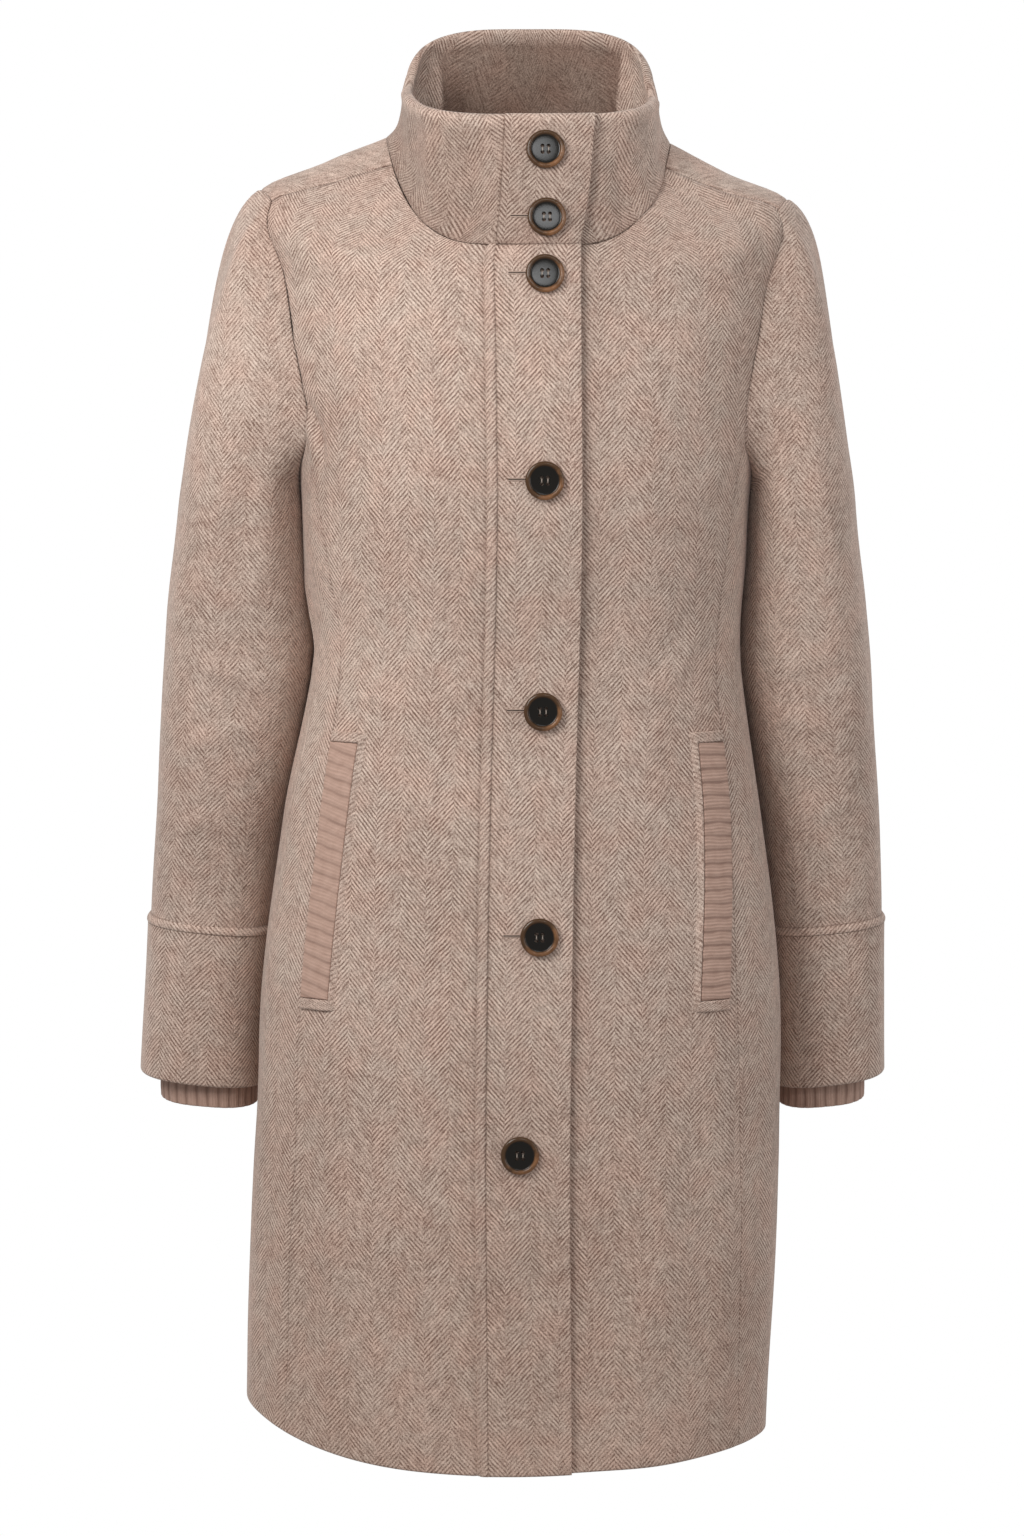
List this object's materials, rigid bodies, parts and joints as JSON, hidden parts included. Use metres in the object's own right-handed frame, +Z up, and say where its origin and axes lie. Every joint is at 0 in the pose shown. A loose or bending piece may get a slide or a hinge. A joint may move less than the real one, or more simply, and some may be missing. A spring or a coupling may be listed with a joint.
{
  "type": "winter coat",
  "caption": "Knee-length single-breasted wool coat with a stand collar, princess seams, rib-knit welt pockets and rib-knit inner cuffs, filled out as if worn and open inside.",
  "frame": {"origin": "between the shoulders, level with the sides of the neck, where a wearer carries the coat", "axes": "+Z up along the wearer, -Y the way the coat faces, +X to the wearer's left"},
  "size_m": [0.5799, 0.2969, 1.0682],
  "materials": {
    "wool": "heathered beige herringbone wool, softly brushed",
    "rib_knit": "rose-brown wool rib knit",
    "horn": "polished dark horn-look resin with amber streaks"
  },
  "bodies": {
    "root": {"front_right": "wool", "placket": "wool", "front_left": "wool", "side_right": "wool", "side_left": "wool", "back": "wool", "collar": "wool", "collar_tab": "wool", "sleeve_right": "wool", "sleeve_left": "wool", "cuff_right": "wool", "cuff_left": "wool", "cuff_welt_right": "wool", "cuff_welt_left": "wool", "rib_cuff_right": "rib_knit", "rib_cuff_left": "rib_knit", "pocket_rib_right": "rib_knit", "pocket_rib_left": "rib_knit", "pocket_welt_right": "wool", "pocket_welt_left": "wool", "button_1": "horn", "button_2": "horn", "button_3": "horn", "button_4": "horn", "button_5": "horn", "button_6": "horn", "button_7": "horn"}
  },
  "joints": []
}
